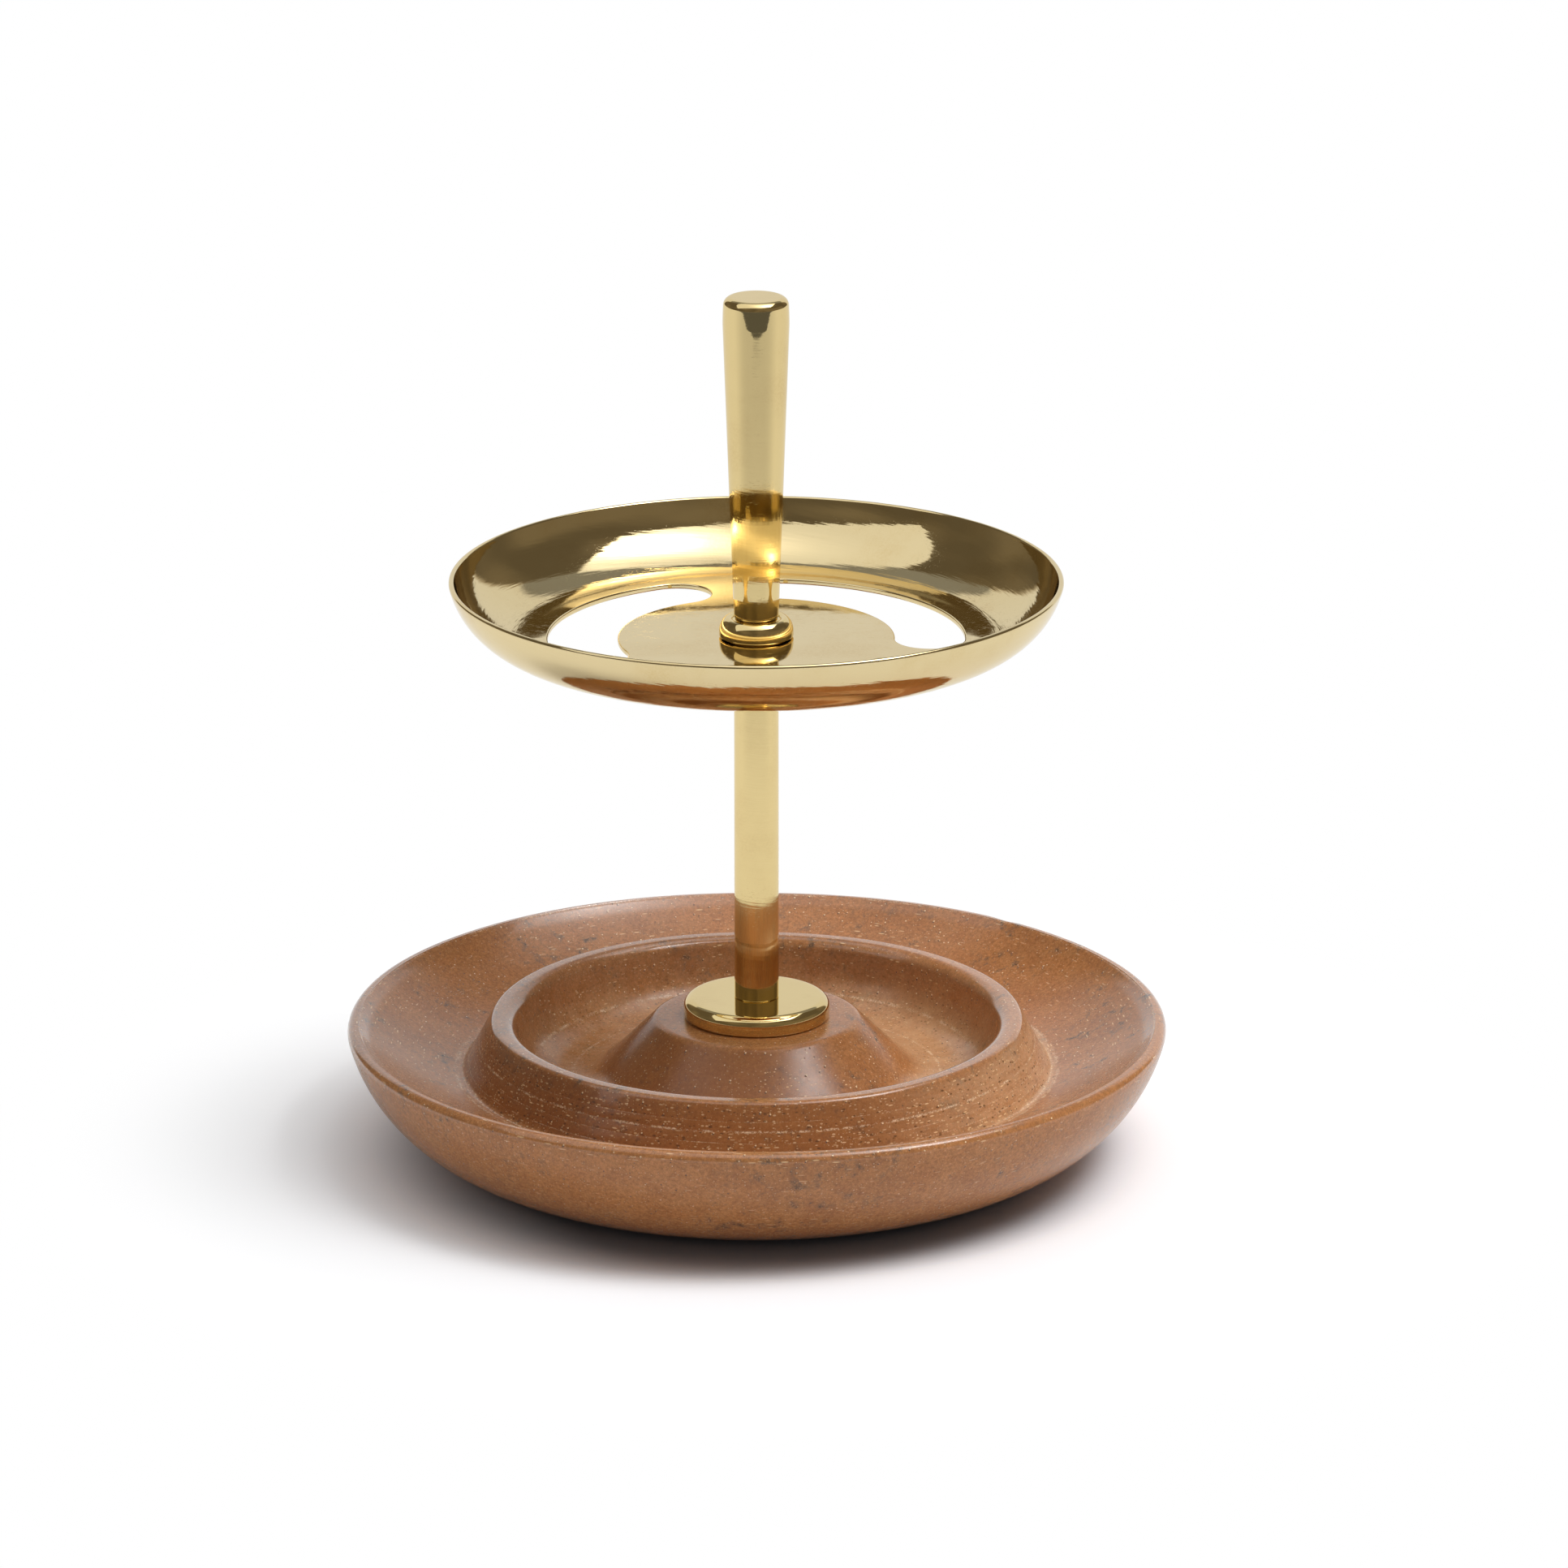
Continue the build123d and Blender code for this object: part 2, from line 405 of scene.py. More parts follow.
def blend(tree, share, first, second, kind="MIX"):
    """Mix of two colours."""
    made = node(tree, "Mix", {"data_type": "RGBA", "blend_type": kind})
    feed(tree, made.inputs["Factor"], share)
    feed(tree, made.inputs[6], first)
    feed(tree, made.inputs[7], second)
    return made.outputs[2]


def overlay(tree, body, tint, strength, *masks):
    """A colour with a tint laid over it, at a strength and where the masks show it."""
    return blend(tree, times(tree, *masks, strength), body, tint)


def noise(tree, place, scale, detail=2.0, roughness=0.5):
    """Soft noise from 0 to 1, with its scale in waves for each unit of the place."""
    made = node(tree, "TexNoise", Vector=place, Scale=scale, Detail=detail, Roughness=roughness)
    return made.outputs["Fac"]


def specks(tree, place, scale, rarity, least, spread):
    """Mask of specks, full in their core, in cells that chance picks; sizes are shares of a cell."""
    cells = node(tree, "TexVoronoi", Vector=place, Scale=scale).outputs
    chance = node(tree, "SeparateColor", Color=cells["Color"]).outputs
    picked = step_up(tree, chance["Red"], rarity, rarity + pick_edge)
    size = sums(tree, "MULTIPLY_ADD", chance["Green"], spread, least)
    speck = step_up(tree, sums(tree, "DIVIDE", cells["Distance"], size), 1.0, speck_core)
    return times(tree, speck, picked)


def from_axis(tree, axes):
    """Distance of a place from the stand's axis."""
    flat = node(tree, "CombineXYZ", X=axes["X"], Y=axes["Y"]).outputs[0]
    return vector_sums(tree, "LENGTH", flat, out="Value")


def colour(red, green, blue):
    """An opaque colour."""
    return (red, green, blue, 1.0)


def new_material(name):
    """A node material, its tree, its Principled shader, and the place on the piece in millimetres."""
    material = bpy.data.materials.new(name)
    material.use_nodes = True
    tree = material.node_tree
    shader = tree.nodes["Principled BSDF"]
    place = node(tree, "TexCoord").outputs["Object"]
    return material, tree, shader, vector_sums(tree, "SCALE", place, scale=1 / MM)


def new_group(name, inputs, outputs):
    """An empty shader node group with named float or vector sockets."""
    group = bpy.data.node_groups.new(name, "ShaderNodeTree")
    for label, kind, value in inputs:
        socket = group.interface.new_socket(label, in_out="INPUT", socket_type="NodeSocket" + kind)
        if value is not None:
            socket.default_value = value
    for label, kind in outputs:
        group.interface.new_socket(label, in_out="OUTPUT", socket_type="NodeSocket" + kind)
    return group, group.nodes.new("NodeGroupInput").outputs, group.nodes.new("NodeGroupOutput").inputs


def use_group(tree, group, **inputs):
    """Place a node group in a tree, with its inputs by name."""
    return node(tree, "Group", {"node_tree": group}, **inputs).outputs


def hand_polish_group():
    """Marks of turning and hand polishing on metal: a height in millimetres, a smear and a tarnish mask."""
    group, given, result = new_group(
        "hand_polish",
        (("Place", "Vector", None), ("Across", "Float", 0.0), ("Waves", "Float", 0.004),
         ("Rings", "Float", 0.0006), ("Hairlines", "Float", 0.0004)),
        (("Height", "Float"), ("Smear", "Float"), ("Tarnish", "Float")))
    waves = sums(group, "SUBTRACT", noise(group, given["Place"], 0.11, 2.0), 0.5)
    drift = vector_sums(group, "SCALE", given["Place"], scale=0.06)
    rings = 0.0
    for closeness, share in ((0.5, 1.0), (1.7, 0.3)):
        across = node(group, "CombineXYZ", X=times(group, given["Across"], closeness)).outputs[0]
        wander = vector_sums(group, "ADD", across, drift)
        ring = sums(group, "SUBTRACT", noise(group, wander, 1.0, 3.0, 0.6), 0.5)
        rings = sums(group, "MULTIPLY_ADD", ring, share, rings)
    buffed = vector_sums(group, "MULTIPLY", given["Place"], (0.5, 5.0, 5.0))
    hairlines = step_up(group, noise(group, buffed, 1.0, 2.0, 0.7), 0.62, 0.74)
    height = times(group, waves, given["Waves"])
    height = sums(group, "MULTIPLY_ADD", rings, given["Rings"], height)
    height = sums(group, "SUBTRACT", height, times(group, hairlines, given["Hairlines"]))
    smear = noise(group, given["Place"], 0.25, 4.0, 0.65)
    tarnish = step_up(group, noise(group, given["Place"], 0.06, 4.0, 0.6), 0.45, 0.75)
    for label, value in (("Height", height), ("Smear", smear), ("Tarnish", tarnish)):
        feed(group, result[label], value)
    return group


def bump(tree, height):
    """A normal from a height in millimetres."""
    return node(tree, "Bump", Height=height, Distance=MM, Strength=1.0).outputs["Normal"]


# Brass

sheet_brass = colour(0.77, 0.63, 0.355)
bar_brass = colour(0.79, 0.625, 0.305)
tarnish_colour = colour(0.68, 0.51, 0.24)
edge_brass = colour(0.97, 0.95, 0.90)
brass_roughness = (0.04, 0.08)
calm_fade = 5.0
calm_share = 0.03


def brass(name, polish, tint, across, waves, rings, hairlines, calm_radius=0.0):
    """Polished brass; across says whether its turning rings follow the radius or the height.

    Within the calm radius the rings are faint."""
    material, tree, shader, place = new_material(name)
    axes = node(tree, "SeparateXYZ", Vector=place).outputs
    ring_place = axes["Z"]
    if across == "radius":
        ring_place = from_axis(tree, axes)
    if calm_radius:
        rings = step_up(tree, ring_place, calm_radius, calm_radius + calm_fade, rings * calm_share, rings)
    marks = use_group(tree, polish, Place=place, Across=ring_place, Waves=waves, Rings=rings,
                      Hairlines=hairlines)
    shader.inputs["Metallic"].default_value = 1.0
    shader.inputs["Specular Tint"].default_value = edge_brass
    speckle = step_up(tree, noise(tree, place, 2.2, 3.0, 0.7), 0.3, 0.7, 0.25, 0.75)
    body = overlay(tree, tint, tarnish_colour, speckle, marks["Tarnish"])
    feed(tree, shader.inputs["Base Color"], body)
    feed(tree, shader.inputs["Roughness"], step_up(tree, marks["Smear"], 0.35, 0.75, *brass_roughness))
    feed(tree, shader.inputs["Normal"], bump(tree, marks["Height"]))
    return material


# Steel of the hidden fastening

zinc_bright = colour(0.62, 0.62, 0.60)
zinc_dull = colour(0.50, 0.49, 0.45)
zinc_roughness = (0.26, 0.46)


def steel(name, polish):
    """Zinc-plated steel."""
    material, tree, shader, place = new_material(name)
    height = node(tree, "SeparateXYZ", Vector=place).outputs["Z"]
    marks = use_group(tree, polish, Place=place, Across=height, Waves=0.004, Rings=0.002, Hairlines=0.002)
    shader.inputs["Metallic"].default_value = 1.0
    feed(tree, shader.inputs["Base Color"], blend(tree, marks["Tarnish"], zinc_bright, zinc_dull))
    feed(tree, shader.inputs["Roughness"], step_up(tree, marks["Smear"], 0.3, 0.75, *zinc_roughness))
    feed(tree, shader.inputs["Normal"], bump(tree, marks["Height"]))
    return material


# Felt

felt_shadow = colour(0.02, 0.018, 0.016)
felt_light = colour(0.07, 0.062, 0.055)
felt_pile = 0.5


def felt_cloth():
    """Dark pressed felt, with matted fibres."""
    material, tree, shader, place = new_material("felt_cloth")
    matted = noise(tree, place, 1.1, 6.0, 0.7)
    fibres = noise(tree, vector_sums(tree, "MULTIPLY", place, (0.9, 5.0, 5.0)), 1.0, 3.0, 0.7)
    tuft = times(tree, matted, fibres)
    shader.inputs["Roughness"].default_value = 0.95
    shader.inputs["Sheen Weight"].default_value = 0.3
    shade = step_up(tree, tuft, 0.15, 0.4)
    feed(tree, shader.inputs["Base Color"], blend(tree, shade, felt_shadow, felt_light))
    feed(tree, shader.inputs["Normal"], bump(tree, times(tree, tuft, felt_pile)))
    return material


# Stone: its own colours, those of what lies in its surface, and painted shade and light

stone_light = colour(0.46, 0.186, 0.063)
stone_dark = colour(0.39, 0.160, 0.060)
# painted shade for the boss and ring slopes, on their side away from the light
stone_mottle = colour(0.53, 0.240, 0.092)
slope_shade = colour(0.29, 0.105, 0.032)
grey_smudge = colour(0.16, 0.112, 0.074)
grey_core = colour(0.055, 0.042, 0.032)
# pale powder, which also serves as painted light on the right of the ring wall
ring_powder_and_light = colour(0.78, 0.50, 0.29)
# pale dust in the well, which also serves as painted light on its right
well_dust_and_light = colour(0.74, 0.44, 0.24)
dust_speck = colour(0.78, 0.52, 0.28)
fine_speck = colour(0.74, 0.48, 0.25)
fine_pit = colour(0.13, 0.060, 0.028)
cream_dash = colour(0.86, 0.58, 0.31)
# painted shade in the small pits beside the cream flecks
pit_shade = colour(0.07, 0.04, 0.027)
cream_fleck = colour(0.95, 0.74, 0.46)
line_chalk = colour(0.90, 0.67, 0.44)

# Where the finish of the stone changes, in millimetres
boss_band = (19.0, 28.5)
ring_wall_band = (48.6, 53.2)
powder_spill = 1.5
band_edge = 0.6
well_dust_inside = 27.0
well_dust_fade = 4.0
well_dust_outside = 41.0
handled_depth = 2.0
handled_fade = 1.0

# Strength of its finish, and heights of its relief in millimetres
outside_share = 0.45
well_specks = 0.6
handled_gloss = 0.65
boss_dulling = 0.05
pit_dulling = 0.3
stone_roughness = (0.12, 0.20)
grain_height = 0.014
pit_depth = 0.05
dash_height = 0.010
fleck_height = 0.006


def stone_places(tree, place):
    """Radius, height, share of the way right, and the place with its circles unrolled to straight lines."""
    axes = node(tree, "SeparateXYZ", Vector=place).outputs
    radius = from_axis(tree, axes)
    angle = sums(tree, "ARCTAN2", axes["X"], times(tree, axes["Y"], -1.0))
    around = times(tree, angle, ring_radius)
    unrolled = node(tree, "CombineXYZ", X=radius, Y=around, Z=axes["Z"]).outputs[0]
    return radius, axes["Z"], sums(tree, "DIVIDE", axes["X"], radius), unrolled


def stone_ground(tree, place, grain):
    """The colour of the stone itself: clouds, mottling and grain."""
    clouds = step_up(tree, noise(tree, place, 0.04, 4.0, 0.6), 0.35, 0.68)
    body = blend(tree, clouds, stone_light, stone_dark)
    mottle = step_up(tree, noise(tree, place, 0.2, 5.0, 0.65), 0.35, 0.7)
    body = overlay(tree, body, stone_mottle, 0.5, mottle)
    shade = step_up(tree, grain, 0.28, 0.72, 0.60, 1.40)
    shade = node(tree, "CombineColor", Red=shade, Green=shade, Blue=shade).outputs[0]
    return blend(tree, 1.0, body, shade, "MULTIPLY")


def stone_blotches(tree, body, place, inner):
    """Grey smudges with dark cores, gathered in drifts and fainter on the outside wall."""
    drift = step_up(tree, noise(tree, place, 0.05, 3.0, 0.6), 0.45, 0.57)
    drift = times(tree, drift, step_up(tree, inner, outside_share, 1.0, 0.65, 1.0))
    smudge = noise(tree, place, 0.34, 6.0, 0.78)
    body = overlay(tree, body, grey_smudge, 0.6, step_up(tree, smudge, 0.52, 0.62), drift)
    return overlay(tree, body, grey_core, 0.95, step_up(tree, smudge, 0.60, 0.68), drift)


def stone_dust_and_painted_light(tree, body, radius, rightward, unrolled, ring_wall, well):
    """Painted shade on the left of the boss and ring slopes, powder with painted light on the right of the
    ring wall, and dust in the well with painted light on its right.
    """
    # Painted shade on the slopes, strongest on the left, away from the light
    slope_shade_share = step_up(tree, rightward, 0.3, 0.9, 0.55, 0.0)
    for band in (boss_band, ring_wall_band):
        body = overlay(tree, body, slope_shade, slope_shade_share, inside(tree, radius, *band, band_edge))
    # Pale powder streaks on the ring wall, only towards the right: partly powder, partly painted light from
    # the right
    streaks = noise(tree, vector_sums(tree, "MULTIPLY", unrolled, (1.0, 0.22, 1.0)), 1.0, 6.0, 0.75)
    powder_and_light_share = times(tree, ring_wall, step_up(tree, rightward, 0.3, 0.9, 0.0, 0.5))
    body = overlay(tree, body, ring_powder_and_light, step_up(tree, streaks, 0.30, 0.70, 0.35, 1.0), powder_and_light_share)
    dust_and_light_share = step_up(tree, noise(tree, unrolled, 0.25, 5.0, 0.7), 0.35, 0.65, 0.15, 0.40)
    # More of it towards the right: painted light from the right
    dust_and_light_share = sums(tree, "ADD", dust_and_light_share, step_up(tree, rightward, 0.2, 0.9, 0.0, 0.30))
    return overlay(tree, body, well_dust_and_light, dust_and_light_share, well)


def stone_specks(tree, body, place, unrolled, inner, speckled):
    """Dust, fine light and dark specks, dashes along the turning, pits painted with the shade beside the
    flecks, and flecks.

    Returns the colour, and the masks of the dashes, pits and flecks."""
    body = overlay(tree, body, dust_speck, 0.4, specks(tree, place, 2.3, 0.70, 0.16, 0.26))
    fine_place = vector_sums(tree, "MULTIPLY", unrolled, (2.4, 1.4, 2.4))
    fine = specks(tree, fine_place, 0.9, 0.60, 0.18, 0.30)
    body = overlay(tree, body, fine_speck, 0.8, fine, speckled)
    dark_place = vector_sums(tree, "ADD", fine_place, (7.3, 3.1, 5.7))
    dark = specks(tree, dark_place, 0.7, 0.62, 0.16, 0.30)
    body = overlay(tree, body, fine_pit, 0.75, dark, speckled)
    sandy = step_up(tree, noise(tree, place, 0.035, 3.0, 0.6), 0.38, 0.62, 0.35, 1.0)
    dash_place = vector_sums(tree, "MULTIPLY", unrolled, (1.9, 0.55, 1.9))
    dashes = times(tree, specks(tree, dash_place, 1.0, 0.66, 0.12, 0.22), sandy, inner)
    body = overlay(tree, body, cream_dash, 0.9, dashes)
    # Dark pits beside most cream flecks: painted shade on the flecks' far side, also cut in as small dips
    beside = vector_sums(tree, "ADD", place, (0.16, 0.12, 0.22))
    shaded_pits = specks(tree, beside, 1.1, 0.72, 0.10, 0.14)
    body = overlay(tree, body, pit_shade, 0.85, shaded_pits)
    flecks = times(tree, specks(tree, place, 1.1, 0.60, 0.09, 0.15), inner)
    body = overlay(tree, body, cream_fleck, 0.95, flecks)
    return body, dashes, shaded_pits, flecks


def stone_chalk(tree, body, place, unrolled):
    """Broken chalk in the turning lines, which the mesh carries as its scored attribute."""
    scored = node(tree, "Attribute", {"attribute_name": "scored"}).outputs["Fac"]
    broken = step_up(tree, noise(tree, unrolled, 0.3, 6.0, 0.8), 0.44, 0.56)
    crumbs = step_up(tree, noise(tree, place, 3.0, 3.0, 0.7), 0.38, 0.58)
    return overlay(tree, body, line_chalk, 0.95, scored, broken, crumbs)


def brown_stone():
    """Satin brown stone: fine grain, cream flecks, dark pits with painted shade, grey blotches, pale turning
    lines, dust, and painted shade and light on its slopes.
    """
    material, tree, shader, place = new_material("brown_stone")
    radius, height, rightward, unrolled = stone_places(tree, place)
    wall_rise = (rim_radius - foot_radius) / rim_height
    cone = sums(tree, "MULTIPLY_ADD", height, wall_rise, foot_radius)
    inner = step_up(tree, sums(tree, "SUBTRACT", radius, cone), -1.0, 1.5, 1.0, outside_share)
    ring_wall = inside(tree, radius, ring_wall_band[0], ring_wall_band[1] + powder_spill, band_edge)
    well = step_up(tree, radius, well_dust_inside, well_dust_inside + well_dust_fade)
    well = times(tree, well, step_up(tree, radius, well_dust_outside, ring_radius, 1.0, 0.0))
    speckled = sums(tree, "MULTIPLY_ADD", well, well_specks, ring_wall)
    grain = noise(tree, place, 1.5, 8.0, 0.85)

    body = stone_ground(tree, place, grain)
    body = stone_blotches(tree, body, place, inner)
    body = stone_dust_and_painted_light(tree, body, radius, rightward, unrolled, ring_wall, well)
    body, dashes, shaded_pits, flecks = stone_specks(tree, body, place, unrolled, inner, speckled)
    feed(tree, shader.inputs["Base Color"], stone_chalk(tree, body, place, unrolled))

    shader.inputs["Specular IOR Level"].default_value = 0.42
    shader.inputs["Coat Roughness"].default_value = 0.05
    handled_z = stone_z + rim_height - handled_depth
    handled = step_up(tree, height, handled_z, handled_z + handled_fade, 0.0, handled_gloss)
    off_boss = step_up(tree, radius, well_dust_inside, well_dust_outside)
    feed(tree, shader.inputs["Coat Weight"], times(tree, handled, off_boss))
    satin = step_up(tree, noise(tree, place, 0.5, 4.0, 0.7), 0.3, 0.7, *stone_roughness)
    satin = sums(tree, "MULTIPLY_ADD", inside(tree, radius, *boss_band, band_edge), boss_dulling, satin)
    feed(tree, shader.inputs["Roughness"], sums(tree, "MULTIPLY_ADD", shaded_pits, pit_dulling, satin))
    relief = times(tree, grain, grain_height)
    for mark, rise in ((shaded_pits, -pit_depth), (dashes, dash_height), (flecks, fleck_height)):
        relief = sums(tree, "MULTIPLY_ADD", mark, rise, relief)
    feed(tree, shader.inputs["Normal"], bump(tree, relief))
    return material


# Stone bowl

def stone_outline():
    """Closed section of the bowl, from the bore round the outside and over the top, and its chalk."""
    ring_outer = ring_radius + ring_top_width / 2
    ring_inner = ring_radius - ring_top_width / 2
    ring_foot = ring_outer + (ring_height - tray_floor_height) / tan(radians(ring_outer_slope))
    well_outer = ring_inner - (ring_height - well_floor_height) / tan(radians(ring_inner_slope))
    boss_height = flange_z - stone_z
    well_inner = boss_radius + (boss_height - well_floor_height) / tan(radians(boss_slope))

    def at(radius, height):
        """A point of the section, with its height above the foot."""
        return Vector((radius, stone_z + height))

    bore_foot = at(stone_bore_radius, recess_depth)
    recess_top = at(recess_radius, recess_depth)
    recess_mouth = at(recess_radius, 0)
    foot_edge = at(foot_radius, 0)
    rim_edge = at(rim_radius, rim_height)
    lip_crease = at(rim_radius - lip_width, rim_height)
    tray_corner = at(ring_foot, tray_floor_height)
    ring_outer_edge = at(ring_outer, ring_height)
    ring_inner_edge = at(ring_inner, ring_height)
    well_outer_corner = at(well_outer, well_floor_height)
    well_inner_corner = at(well_inner, well_floor_height)
    boss_edge = at(boss_radius, boss_height)
    bore_top = at(stone_bore_radius, boss_height)
    section = closed_section(
        (0, line(bore_foot, recess_top)),
        (0, line(recess_top, recess_mouth)),
        (0, line(recess_mouth, foot_edge, 4)),
        (foot_edge_round, bow(foot_edge, rim_edge, wall_bulge, 40)),
        (lip_round, line(rim_edge, lip_crease)),
        (lip_crease_round, bow(lip_crease, tray_corner, -tray_hollow, 32)),
        (tray_corner_round, line(tray_corner, ring_outer_edge, 8)),
        (ring_outer_round, line(ring_outer_edge, ring_inner_edge)),
        (ring_inner_round, line(ring_inner_edge, well_outer_corner, 8)),
        (well_round, line(well_outer_corner, well_inner_corner, 2)),
        (well_round, line(well_inner_corner, boss_edge, 8)),
        (boss_edge_round, line(boss_edge, bore_top, 4)),
        (0, line(bore_top, bore_foot)),
    )
    ring_wall = ring_outer_edge - tray_corner
    marks = [(tray_corner + ring_wall * share, *cut) for share, *cut in ring_lines]
    marks += [(tray_corner + Vector(off), *cut) for off, *cut in tray_lines]
    marks += [(lip_crease + Vector(off), *cut) for off, *cut in lip_lines]
    marks += [(at(*place), *cut) for place, *cut in well_lines]
    return score(section, marks)


def ripple(angle, waves):
    """Sum of a few waves round the axis."""
    return sum(size * sin(count * angle + start) for count, size, start in waves)


def stone_unevenness(angle, radius, height):
    """Hand turning leaves the bowl slightly out of round, and its rim has one small chip."""
    rise = (height - stone_z) / rim_height
    share = max(0, min(1, rise)) * radius / rim_radius
    radius += share * ripple(angle, out_of_round)
    height += share * ripple(angle, out_of_level)
    off = (degrees(angle) - chip_angle) * radians(1) * radius / chip_half_width
    from_edge = hypot(radius - rim_radius + chip_inset, height - stone_z - rim_height + chip_inset)
    if max(abs(off), from_edge) < chip_reach:
        dip = chip_depth * exp(-off * off) * exp(-from_edge * from_edge)
        radius -= chip_inward * dip
        height -= chip_downward * dip
    return radius, height


def make_stone_base(material):
    """The turned bowl, with its turning lines."""
    section, chalk = stone_outline()
    piece = turn("stone_bowl", section, stone_segments, stone_unevenness, chalk)
    stand_for(piece, "stone_base", material)


# Felt pad

def felt_fraying(angle, radius, height):
    """A cut felt edge is never quite round."""
    edge = max(0, radius - felt_radius + fray_width) * fray_depth
    first, second = fray_waves
    return radius - edge + edge * sin(first * angle) * sin(second * angle + fray_start), height


def make_felt_pad(material):
    """Flat disc under the stone."""
    foot, top = (0, felt_z), (0, felt_top_z)
    low_edge, high_edge = (felt_radius, felt_z), (felt_radius, felt_top_z)
    section = closed_section(
        (0, line(foot, low_edge, 6)),
        (felt_edge_round, line(low_edge, high_edge, 3)),
        (felt_edge_round, line(high_edge, top, 6)),
        (0, line(top, foot)),
    )
    piece = turn("felt_disc", section, felt_segments, felt_fraying)
    stand_for(piece, "felt_pad", material)


# Brass foot disc

def make_foot_flange(material):
    """Disc with a well rounded upper edge."""
    radius = width("foot_flange") / 2
    bore_foot, low_edge = (stud_bore_radius, flange_z), (radius, flange_z)
    high_edge, bore_top = (radius, flange_top_z), (stud_bore_radius, flange_top_z)
    section = closed_section(
        (0, line(bore_foot, low_edge, 4)),
        (flange_bottom_round, line(low_edge, high_edge)),
        (flange_top_round, line(high_edge, bore_top, 6)),
        (0, line(bore_top, bore_foot)),
    )
    stand_for(turn("brass_foot_disc", section, brass_segments), "foot_flange", material)


# Brass post

def make_lower_post(material):
    """Plain tube with slightly broken ends."""
    radius = width("lower_post") / 2
    bore_foot, low_edge = (stud_bore_radius, post_z), (radius, post_z)
    high_edge, bore_top = (radius, post_top_z), (stud_bore_radius, post_top_z)
    section = closed_section(
        (0, line(bore_foot, low_edge)),
        (post_end_round, line(low_edge, high_edge, 24)),
        (post_end_round, line(high_edge, bore_top)),
        (0, line(bore_top, bore_foot)),
    )
    stand_for(turn("brass_post", section, brass_segments), "lower_post", material)


# Brass dish

def slot_loop(radius, half_width, half_sweep, turn_angle, end_steps=28, side_steps=72):
    """Points round a curved slot whose middle line is an arc about the axis."""
    points = []
    for k in range(side_steps):
        a = turn_angle - half_sweep + 2 * half_sweep * k / side_steps
        points.append(((radius + half_width) * cos(a), (radius + half_width) * sin(a)))
    points += slot_end(radius, half_width, turn_angle + half_sweep, 0, end_steps)
    for k in range(side_steps):
        a = turn_angle + half_sweep - 2 * half_sweep * k / side_steps
        points.append(((radius - half_width) * cos(a), (radius - half_width) * sin(a)))
    points += slot_end(radius, half_width, turn_angle - half_sweep, pi, end_steps)
    return points


def slot_end(radius, half_width, at_angle, start, steps):
    """Points round one rounded end of a slot."""
    centre = (radius * cos(at_angle), radius * sin(at_angle))
    points = []
    for k in range(steps):
        a = at_angle + start + pi * k / steps
        points.append((centre[0] + half_width * cos(a), centre[1] + half_width * sin(a)))
    return points


def ring_loop(radius, steps):
    """Points round a circle about the axis."""
    return [(radius * cos(2 * pi * k / steps), radius * sin(2 * pi * k / steps)) for k in range(steps)]


def add_loop(mesh, points, height):
    """Vertices for a loop of points at one height."""
    return [mesh.verts.new((x * MM, y * MM, height * MM)) for x, y in points]


def join_loops(mesh, loops):
    """Faces between neighbouring loops of as many points each."""
    for low, high in zip(loops, loops[1:]):
        for k in range(len(low)):
            beside = (k + 1) % len(low)
            mesh.faces.new((low[k], low[beside], high[beside], high[k])).smooth = True


def fill_between(mesh, loops):
    """Flat face between an outer loop and the loops of its holes."""
    edges = []
    for loop in loops:
        edges += [mesh.edges.get((loop[k - 1], loop[k])) for k in range(len(loop))]
    made = bmesh.ops.triangle_fill(mesh, use_beauty=True, use_dissolve=False, edges=edges)
    for item in made["geom"]:
        if isinstance(item, bmesh.types.BMFace):
            item.smooth = False


def make_dish(material):
    """Flat floor with curved slots, and a wall that sweeps up to a rounded rim."""
    floor_radius = width("dish") / 2 - dish_curve_radius * sin(radians(dish_wall_sweep))
    slot_radius = floor_radius - slot_margin - slot_width / 2
    half_sweep = pi / slot_count - (slot_land + slot_width) / slot_radius / 2
    centre = (floor_radius, dish_z + dish_curve_radius)
    inner_radius = dish_curve_radius - dish_wall
    top = -90 + dish_wall_sweep
    outer_face = sweep(centre, (dish_curve_radius, dish_curve_radius), -90, top, 56)
    inner_face = sweep(centre, (inner_radius, inner_radius), top, -90, 56)
    axis_foot = (0, dish_z + dish_wall)
    section = closed_section(
        (0, outer_face),
        (dish_rim_round, line(outer_face[-1], inner_face[0])),
        (dish_rim_round, inner_face),
        (0, line(inner_face[-1], axis_foot)),
        (0, line(axis_foot, outer_face[0])),
    )
    wall = [p for p in section if p.x > floor_radius - 10 * least_step]
    mesh = bmesh.new()
    rings = [add_loop(mesh, ring_loop(p.x, brass_segments), p.y) for p in wall]
    join_loops(mesh, rings)

    bottom, floor = dish_z, dish_z + dish_wall
    rounding = [radians(90 * k / slot_round_steps) for k in range(slot_round_steps + 1)]
    profile = [(slot_edge_round * (1 - sin(a)), floor - slot_edge_round * (1 - cos(a))) for a in rounding]
    profile += [(slot_edge_round * (1 - cos(a)), bottom + slot_edge_round * (1 - sin(a))) for a in rounding]
    tops, bottoms = [rings[-1]], [rings[0]]
    for number in range(slot_count):
        at_angle = radians(slot_turn) + 2 * pi * number / slot_count
        loops = []
        for spread, height in profile:
            points = slot_loop(slot_radius, slot_width / 2 + spread, half_sweep, at_angle)
            loops.append(add_loop(mesh, points, height))
        join_loops(mesh, loops)
        tops.append(loops[0])
        bottoms.append(loops[-1])
    bore = [add_loop(mesh, ring_loop(stud_bore_radius, bore_segments), z) for z in (floor, bottom)]
    join_loops(mesh, bore)
    fill_between(mesh, tops + [bore[0]])
    fill_between(mesh, bottoms + [bore[1]])
    bmesh.ops.recalc_face_normals(mesh, faces=mesh.faces)
    data = bpy.data.meshes.new("brass_dish")
    mesh.to_mesh(data)
    mesh.free()
    stand_for(add_object("brass_dish", data), "dish", material)


# Brass collar

